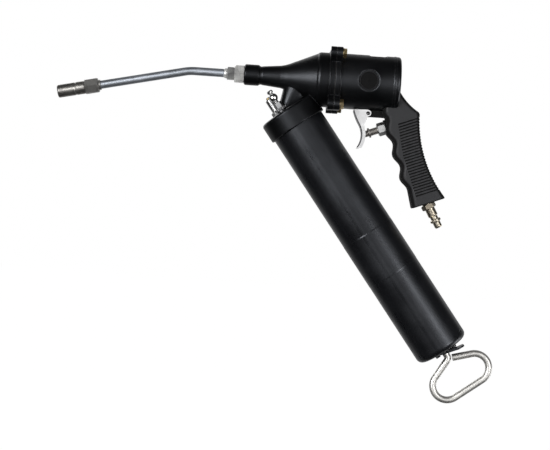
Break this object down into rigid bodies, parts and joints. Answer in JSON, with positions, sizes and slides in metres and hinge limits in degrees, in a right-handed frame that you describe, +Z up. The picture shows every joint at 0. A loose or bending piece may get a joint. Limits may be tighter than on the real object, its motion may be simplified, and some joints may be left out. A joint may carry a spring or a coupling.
{
  "type": "grease gun",
  "caption": "Air-powered grease gun with a pistol grip, a slanted cartridge barrel with a pull rod and D handle, and a bent delivery tube ending in a coupler.",
  "frame": {"origin": "Centre of the pistol grip, on the symmetry plane, where a hand holds the gun", "axes": "X runs along the pump axis with the coupler at -X and the grip at +X, Y across the gun, Z up; the barrel slants down towards +X"},
  "size_m": [0.4664, 0.0642, 0.3556],
  "materials": {
    "black_paint": "satin black paint",
    "grip_plastic": "dark grey moulded plastic",
    "zinc_plate": "bright zinc plate",
    "dark_steel": "dark oiled steel",
    "bright_steel": "bare drawn steel",
    "spring_steel": "oiled spring wire",
    "rubber_black": "black nitrile rubber",
    "gasket_paper": "pressed gasket paper",
    "felt": "black felt silencer",
    "yellow_zinc": "yellow passivated zinc",
    "nickel_brass": "worn nickel on brass",
    "brass": "machined brass",
    "cast_aluminium": "machined aluminium",
    "badge_plastic": "dark pressed disc, left blank"
  },
  "bodies": {
    "gun": {"pump_head": "black_paint", "outlet_adapter": "zinc_plate", "tube_nut": "dark_steel", "delivery_tube": "zinc_plate", "coupler_body": "dark_steel", "coupler_sleeve": "dark_steel", "coupler_jaws": "bright_steel", "coupler_spring": "spring_steel", "check_spring": "spring_steel", "plunger_gland": "brass", "plunger_seal": "rubber_black", "return_spring": "spring_steel", "flange_gasket": "gasket_paper", "flange_bolts": "yellow_zinc", "motor_housing": "black_paint", "badge": "badge_plastic", "exhaust_pad": "felt", "grip": "grip_plastic", "air_plug": "nickel_brass", "valve_nut": "zinc_plate", "valve_spring": "spring_steel", "trigger_pin": "dark_steel", "barrel_gasket": "rubber_black", "filler_nipple": "zinc_plate", "filler_ring": "dark_steel", "bleed_valve": "zinc_plate"},
    "trigger": {"trigger": "zinc_plate"},
    "valve_stem": {"valve_stem": "nickel_brass", "valve_seal": "rubber_black"},
    "piston": {"plunger": "bright_steel", "air_piston": "cast_aluminium", "piston_seal": "rubber_black", "piston_nut": "bright_steel"},
    "barrel": {"barrel": "black_paint", "rod_bush": "brass", "follower_spring": "spring_steel", "latch_keeper": "black_paint", "latch_spring": "spring_steel"},
    "rod": {"pull_rod": "bright_steel", "follower_plate": "bright_steel", "follower_cup": "rubber_black", "follower_nut": "bright_steel"},
    "latch": {"rod_latch": "black_paint"},
    "bleed_button": {"bleed_button": "brass"},
    "check_ball": {"check_ball": "bright_steel"},
    "coupler_seal": {"coupler_seal": "rubber_black"}
  },
  "joints": [
    {"name": "trigger_pull", "type": "hinge", "parent": "gun", "child": "trigger", "pos_m": [-0.046, 0, 0.0446], "axis": [0, -1, 0], "range_deg": [0, 10], "stiffness_Nm_per_rad": 0.5, "springref_deg": -17.19},
    {"name": "valve_push", "type": "slide", "parent": "gun", "child": "valve_stem", "axis": [0.9311, 0, 0.3649], "range_m": [0, 0.0034], "deforming": ["valve_spring"]},
    {"name": "piston_stroke", "type": "slide", "parent": "gun", "child": "piston", "axis": [-1, 0, 0], "range_m": [0, 0.028], "stiffness_N_per_m": 800, "springref_m": -0.02, "deforming": ["return_spring"]},
    {"name": "check_lift", "type": "slide", "parent": "gun", "child": "check_ball", "axis": [-1, 0, 0], "range_m": [0, 0.0015], "stiffness_N_per_m": 80, "springref_m": -0.002, "deforming": ["check_spring"]},
    {"name": "seal_press", "type": "slide", "parent": "gun", "child": "coupler_seal", "axis": [0.9751, 0, 0.2215], "range_m": [0, 0.0015], "stiffness_N_per_m": 40, "springref_m": -0.002, "deforming": ["coupler_spring"]},
    {"name": "barrel_turn", "type": "hinge", "parent": "gun", "child": "barrel", "pos_m": [-0.1539, 0, 0.0762], "axis": [0.6004, 0, -0.7997], "range_deg": [0, 360]},
    {"name": "rod_slide", "type": "slide", "parent": "barrel", "child": "rod", "axis": [0.6004, 0, -0.7997], "range_m": [0, 0.19], "stiffness_N_per_m": 250, "springref_m": -0.12, "deforming": ["follower_spring"]},
    {"name": "latch_tilt", "type": "hinge", "parent": "barrel", "child": "latch", "pos_m": [0.04204, 0, -0.19809], "axis": [0, -1, 0], "range_deg": [0, 4], "stiffness_Nm_per_rad": 0.2, "springref_deg": -17.19, "deforming": ["latch_spring"]},
    {"name": "bleed_press", "type": "slide", "parent": "gun", "child": "bleed_button", "axis": [0.6004, 0, -0.7997], "range_m": [0, 0.0015], "stiffness_N_per_m": 100, "springref_m": -0.002}
  ],
  "couplings": [
    {"joint": "valve_push", "follows": "trigger_pull", "m_per_rad": 0.019}
  ]
}
